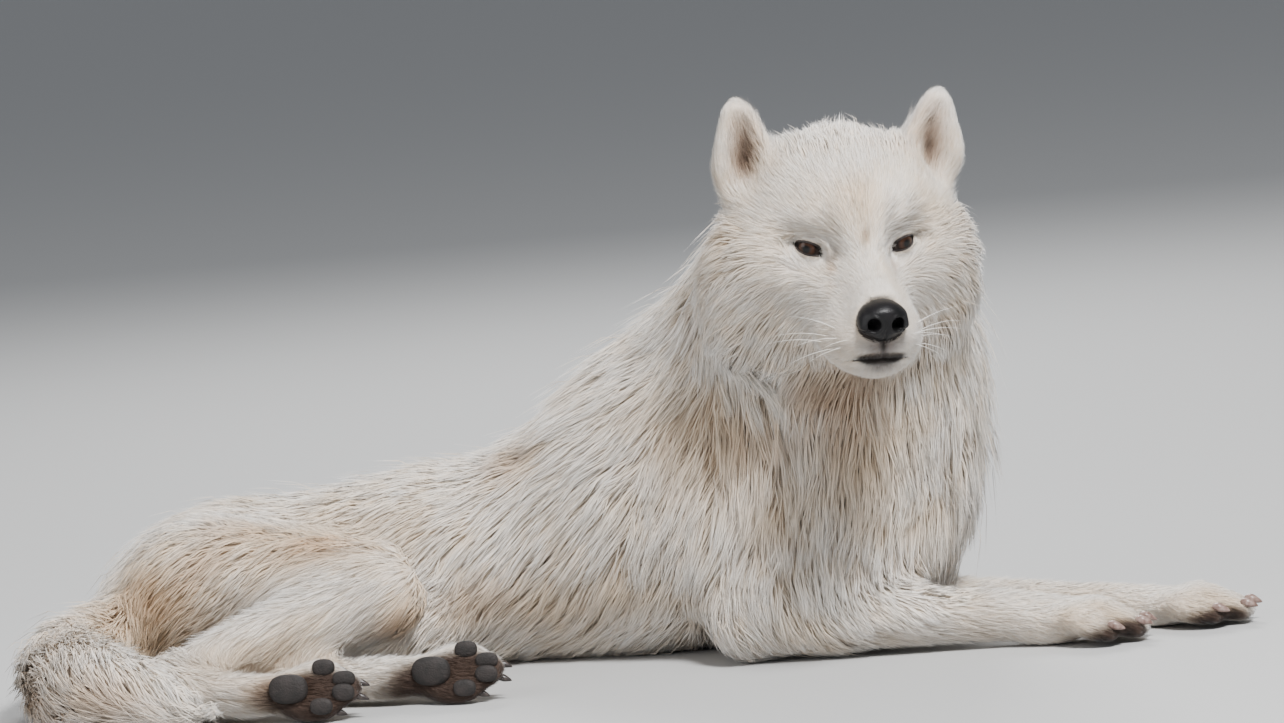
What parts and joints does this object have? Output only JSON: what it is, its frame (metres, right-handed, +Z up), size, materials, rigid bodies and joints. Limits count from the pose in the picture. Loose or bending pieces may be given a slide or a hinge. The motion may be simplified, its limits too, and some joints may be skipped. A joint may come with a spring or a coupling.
{
  "type": "resting arctic wolf animal model",
  "caption": "Life-size still model of a white arctic wolf lying at rest, head up and turned to its right, hind paws and tail laid to one side.",
  "frame": {"origin": "on the floor, in the flat under the brisket, where the trunk rests", "axes": "+X forward along the trunk to the fore paws, +Y to the wolf's left, +Z up"},
  "size_m": [1.1199, 0.5072, 0.5106],
  "materials": {
    "coat": "long off-white fur with cream and tan shading",
    "face_coat": "short white fur, lying flat",
    "ear_coat": "short greyish tan fur, darker inside",
    "eye": "wet gloss, dark brown iris and black pupil",
    "nose_leather": "black, moist, finely pebbled skin",
    "claw_horn": "smooth pinkish grey-brown horn",
    "pad_leather": "dark grey-brown, rough, dry sole pad skin"
  },
  "bodies": {
    "root": {"head": "face_coat", "neck": "coat", "trunk": "coat", "foreleg_right": "coat", "foreleg_left": "coat", "hindleg_right": "coat", "hindleg_left": "coat", "tail": "coat", "ear_right": "ear_coat", "ear_left": "ear_coat", "eye_right": "eye", "eye_left": "eye", "nose": "nose_leather", "claw_foreleg_right_1": "claw_horn", "claw_foreleg_right_2": "claw_horn", "claw_foreleg_right_3": "claw_horn", "claw_foreleg_right_4": "claw_horn", "claw_foreleg_left_1": "claw_horn", "claw_foreleg_left_2": "claw_horn", "claw_foreleg_left_3": "claw_horn", "claw_foreleg_left_4": "claw_horn", "claw_hindleg_right_1": "claw_horn", "claw_hindleg_right_2": "claw_horn", "claw_hindleg_right_3": "claw_horn", "claw_hindleg_right_4": "claw_horn", "claw_hindleg_left_1": "claw_horn", "claw_hindleg_left_2": "claw_horn", "claw_hindleg_left_3": "claw_horn", "claw_hindleg_left_4": "claw_horn", "pad_hindleg_right_1": "pad_leather", "pad_hindleg_right_2": "pad_leather", "pad_hindleg_right_3": "pad_leather", "pad_hindleg_right_4": "pad_leather", "pad_hindleg_right_5": "pad_leather", "pad_hindleg_left_1": "pad_leather", "pad_hindleg_left_2": "pad_leather", "pad_hindleg_left_3": "pad_leather", "pad_hindleg_left_4": "pad_leather", "pad_hindleg_left_5": "pad_leather"}
  },
  "joints": []
}
